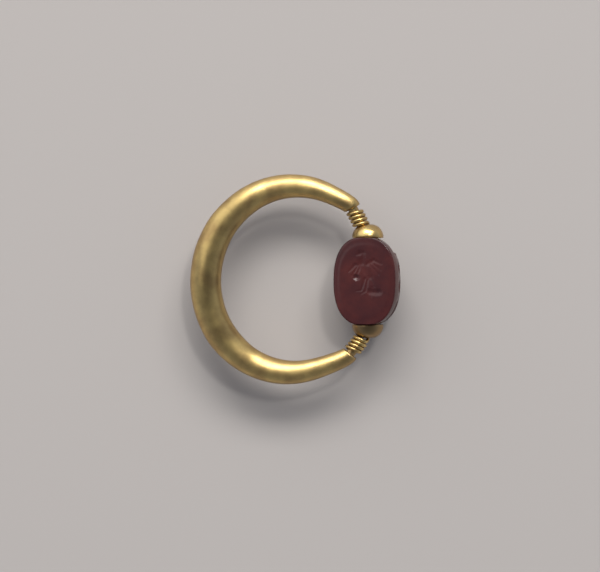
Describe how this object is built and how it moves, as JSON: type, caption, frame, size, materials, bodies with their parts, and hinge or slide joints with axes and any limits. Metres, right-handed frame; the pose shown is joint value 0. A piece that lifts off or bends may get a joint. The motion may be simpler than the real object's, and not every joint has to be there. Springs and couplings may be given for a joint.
{
  "type": "scarab swivel ring",
  "caption": "Gold hoop finger ring with a drilled carnelian scarab seal that turns between two gold caps on a wire wound round the hoop's tips",
  "frame": {"origin": "centre of the hoop's oval, in the middle plane of its bar", "axes": "+Z along the finger hole, the way the engraved face looks; +X from the hoop's back towards the seal; +Y along the swivel axis, towards the beetle's head"},
  "size_m": [0.0278, 0.0278, 0.0068],
  "materials": {
    "gold": "old hand-finished high-carat gold, soft polish with fine scratches",
    "carnelian": "polished dark carnelian"
  },
  "bodies": {
    "hoop": {"hoop": "gold", "swivel_wire": "gold", "upper_cap": "gold", "lower_cap": "gold"},
    "scarab": {"scarab": "carnelian"}
  },
  "joints": [
    {"name": "seal_swivel", "type": "hinge", "parent": "hoop", "child": "scarab", "pos_m": [0.0099, -0.00026, 0], "axis": [0, 1, 0], "continuous": true}
  ]
}
